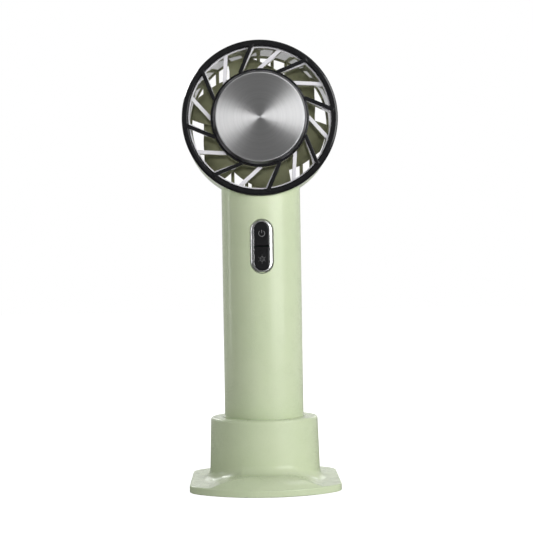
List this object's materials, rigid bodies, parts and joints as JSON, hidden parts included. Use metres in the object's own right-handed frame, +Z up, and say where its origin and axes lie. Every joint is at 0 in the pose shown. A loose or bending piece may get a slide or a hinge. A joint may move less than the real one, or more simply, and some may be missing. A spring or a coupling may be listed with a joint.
{
  "type": "handheld electric fan",
  "caption": "Handheld cooling fan with a round ducted head, swept spoke grille and brushed metal cold plate, standing in a socketed desk base.",
  "frame": {"origin": "centre of the desk base's underside, on the handle's axis, at table level", "axes": "+Z up along the handle, +X to the right of a person facing the grille, air leaves towards -Y"},
  "size_m": [0.0698, 0.085, 0.2007],
  "materials": {
    "green_plastic": "satin moulded pale green plastic",
    "gloss_black": "gloss black",
    "pale_duct": "gloss white with a cool tint",
    "olive_plastic": "satin dark olive plastic",
    "brushed_metal": "circular brushed aluminium",
    "bezel_chrome": "polished chrome plating",
    "black_foam": "closed-cell black rubber foam",
    "plated_steel": "nickel plated steel",
    "cell_wrap": "shrink-wrapped battery cell",
    "inner_black": "matte black moulding",
    "circuit_board": "green circuit board",
    "switch_parts": "small black switch body",
    "port_steel": "formed steel shell",
    "light_lens": "translucent white light guide",
    "lead_cover": "soft insulated lead",
    "heat_pad": "soft grey thermal pad",
    "cooler_ceramic": "white ceramic faced cooler module",
    "sink_metal": "milled aluminium",
    "magnet": "ferrite magnet ring",
    "sleeve_brass": "turned brass",
    "stator_core": "stacked iron core with enamelled windings"
  },
  "bodies": {
    "stand": {"stand_base": "green_plastic", "foot_pad": "black_foam", "stand_weight": "plated_steel"},
    "turn_pad": {"socket_pad": "black_foam"},
    "fan": {"handle_tube": "green_plastic", "handle_end_cap": "green_plastic", "battery_cell": "cell_wrap", "inner_frame": "inner_black", "control_board": "circuit_board", "charging_board": "circuit_board", "tact_switches": "switch_parts", "button_bezel": "bezel_chrome", "usb_c_port": "port_steel", "charge_light": "light_lens", "battery_leads": "lead_cover", "head_shell": "green_plastic", "duct_liner": "pale_duct", "front_grille": "gloss_black", "inner_guard": "pale_duct", "rear_cover": "green_plastic", "rear_grille": "olive_plastic", "cold_plate": "brushed_metal", "thermal_pad": "heat_pad", "peltier_module": "cooler_ceramic", "heat_sink": "sink_metal", "hub_cup": "inner_black", "plate_gasket": "black_foam", "motor_bearings": "plated_steel", "bearing_sleeve": "sleeve_brass", "stator": "stator_core", "motor_base": "plated_steel", "motor_screws": "plated_steel", "peltier_leads": "lead_cover", "motor_leads": "lead_cover"},
    "rotor": {"impeller": "olive_plastic", "rotor_can": "plated_steel", "rotor_magnet": "magnet", "motor_shaft": "plated_steel"},
    "power_key": {"power_button": "gloss_black"},
    "cooling_key": {"cooling_button": "gloss_black"}
  },
  "joints": [
    {"name": "fan_swivel", "type": "hinge", "parent": "stand", "child": "turn_pad", "pos_m": [0, 0, 0.006], "axis": [0, 0, 1], "continuous": true},
    {"name": "fan_lift", "type": "slide", "parent": "turn_pad", "child": "fan", "axis": [0, 0, 1], "range_m": [0, 0.04]},
    {"name": "impeller_spin", "type": "hinge", "parent": "fan", "child": "rotor", "pos_m": [0, 0, 0.1659], "axis": [0, 1, 0], "continuous": true},
    {"name": "power_press", "type": "slide", "parent": "fan", "child": "power_key", "axis": [0, 1, 0], "range_m": [0, 0.0005], "stiffness_N_per_m": 400, "springref_m": -0.0005},
    {"name": "cooling_press", "type": "slide", "parent": "fan", "child": "cooling_key", "axis": [0, 1, 0], "range_m": [0, 0.0005], "stiffness_N_per_m": 400, "springref_m": -0.0005}
  ]
}
